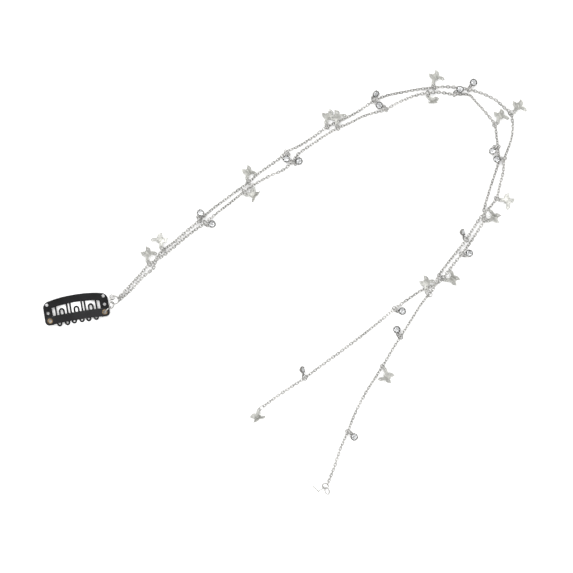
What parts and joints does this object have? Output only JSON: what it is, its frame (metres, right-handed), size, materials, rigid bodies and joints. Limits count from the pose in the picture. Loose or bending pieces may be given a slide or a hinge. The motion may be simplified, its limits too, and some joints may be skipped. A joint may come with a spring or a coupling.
{
  "type": "hair chain",
  "caption": "Comb clip with two fine chains on one eyelet, strung with openwork butterflies and round crystal drops, lying in an arc on a surface.",
  "frame": {"origin": "centre of the bounding box in plan, on the surface that the hair chain lies on", "axes": "+X to the right and +Y up across the sheet, as seen from above with the clip at the lower left; +Z up from the surface"},
  "size_m": [0.2336, 0.2056, 0.0068],
  "materials": {
    "silver_plate": "polished silver-coloured plate, slightly greyed in the recesses",
    "black_coat": "satin black coat on spring steel",
    "brass": "plain rolled eyelet, soft polish",
    "crystal": "clear faceted glass stone with a foiled back"
  },
  "bodies": {
    "root": {"clip_frame": "black_coat", "clip_bar": "black_coat", "eyelet_left": "brass", "eyelet_right": "brass", "eyelet_ring": "silver_plate", "middle_ring": "silver_plate", "gather_ring": "silver_plate", "chain_strand_a": "silver_plate", "chain_strand_b": "silver_plate", "jump_rings_a": "silver_plate", "jump_rings_b": "silver_plate", "butterfly_a1": "silver_plate", "butterfly_a2": "silver_plate", "butterfly_a3": "silver_plate", "butterfly_a4": "silver_plate", "butterfly_a5": "silver_plate", "butterfly_a6": "silver_plate", "butterfly_a7": "silver_plate", "butterfly_a8": "silver_plate", "butterfly_b1": "silver_plate", "butterfly_b2": "silver_plate", "butterfly_b3": "silver_plate", "butterfly_b4": "silver_plate", "butterfly_b5": "silver_plate", "butterfly_b6": "silver_plate", "butterfly_b7": "silver_plate", "butterfly_b8": "silver_plate", "butterfly_b9": "silver_plate", "drop_a1": "silver_plate", "drop_a2": "silver_plate", "drop_a3": "silver_plate", "drop_a4": "silver_plate", "drop_a5": "silver_plate", "drop_a6": "silver_plate", "drop_a7": "silver_plate", "drop_a8": "silver_plate", "drop_b1": "silver_plate", "drop_b2": "silver_plate", "drop_b3": "silver_plate", "drop_b4": "silver_plate", "drop_b5": "silver_plate", "drop_b6": "silver_plate", "drop_b7": "silver_plate", "drop_b8": "silver_plate", "stones_a": "crystal", "stones_b": "crystal"}
  },
  "joints": []
}
